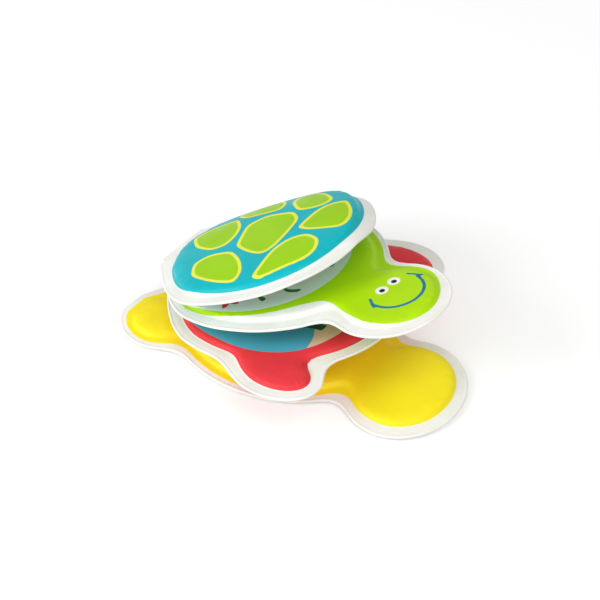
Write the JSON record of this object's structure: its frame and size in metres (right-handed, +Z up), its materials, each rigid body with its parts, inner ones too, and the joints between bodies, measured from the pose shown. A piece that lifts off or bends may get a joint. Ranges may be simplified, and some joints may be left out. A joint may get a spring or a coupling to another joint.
{
  "type": "bath book",
  "caption": "Soft padded bath book in the shape of a turtle: welded film leaves bound at the tail, with a squeaker hidden in the shell cover.",
  "frame": {"origin": "on the table, on the flat underside of the back cover, below the middle of the body", "axes": "+X from the binding towards the head, +Z up from the table, +Y towards the turtle's left side"},
  "size_m": [0.1835, 0.1366, 0.0744],
  "materials": {
    "teal_film": "satin",
    "lime_film": "satin",
    "red_film": "satin",
    "yellow_film": "satin",
    "white_film": "satin",
    "foam": "matte",
    "squeaker_plastic": "matte",
    "reed_plastic": "matte"
  },
  "bodies": {
    "back_cover": {"back_cover_front_film": "yellow_film", "back_cover_foam": "foam", "back_cover_back_film": "yellow_film", "spine_strip_lower": "white_film"},
    "flipper_leaf": {"flipper_leaf_front_film": "red_film", "flipper_leaf_foam": "foam", "flipper_leaf_back_film": "red_film", "spine_strip_middle": "white_film"},
    "head_leaf": {"head_leaf_front_film": "lime_film", "head_leaf_foam": "foam", "head_leaf_back_film": "lime_film", "spine_strip_upper": "white_film"},
    "shell_cover": {"shell_cover_front_film": "teal_film", "shell_cover_foam": "foam", "shell_cover_back_film": "teal_film", "squeaker_base": "squeaker_plastic", "squeaker_reed_tube": "reed_plastic", "squeaker_reed": "reed_plastic"},
    "squeaker_cap": {"squeaker_cap": "squeaker_plastic"}
  },
  "joints": [
    {"name": "flipper_leaf_hinge", "type": "hinge", "parent": "back_cover", "child": "flipper_leaf", "pos_m": [-0.07, 0, 0.00685], "axis": [0, -1, 0], "range_deg": [-4, 26.1]},
    {"name": "head_leaf_hinge", "type": "hinge", "parent": "flipper_leaf", "child": "head_leaf", "pos_m": [-0.07056, 0, 0.01041], "axis": [0, -1, 0], "range_deg": [-2.7, 37.9]},
    {"name": "shell_cover_hinge", "type": "hinge", "parent": "head_leaf", "child": "shell_cover", "pos_m": [-0.07155, 0, 0.01387], "axis": [0, -1, 0], "range_deg": [-2.7, 87.9]},
    {"name": "squeaker_press", "type": "slide", "parent": "shell_cover", "child": "squeaker_cap", "axis": [0.3923, 0, -0.9198], "range_m": [0, 0.0022], "stiffness_N_per_m": 2000}
  ]
}
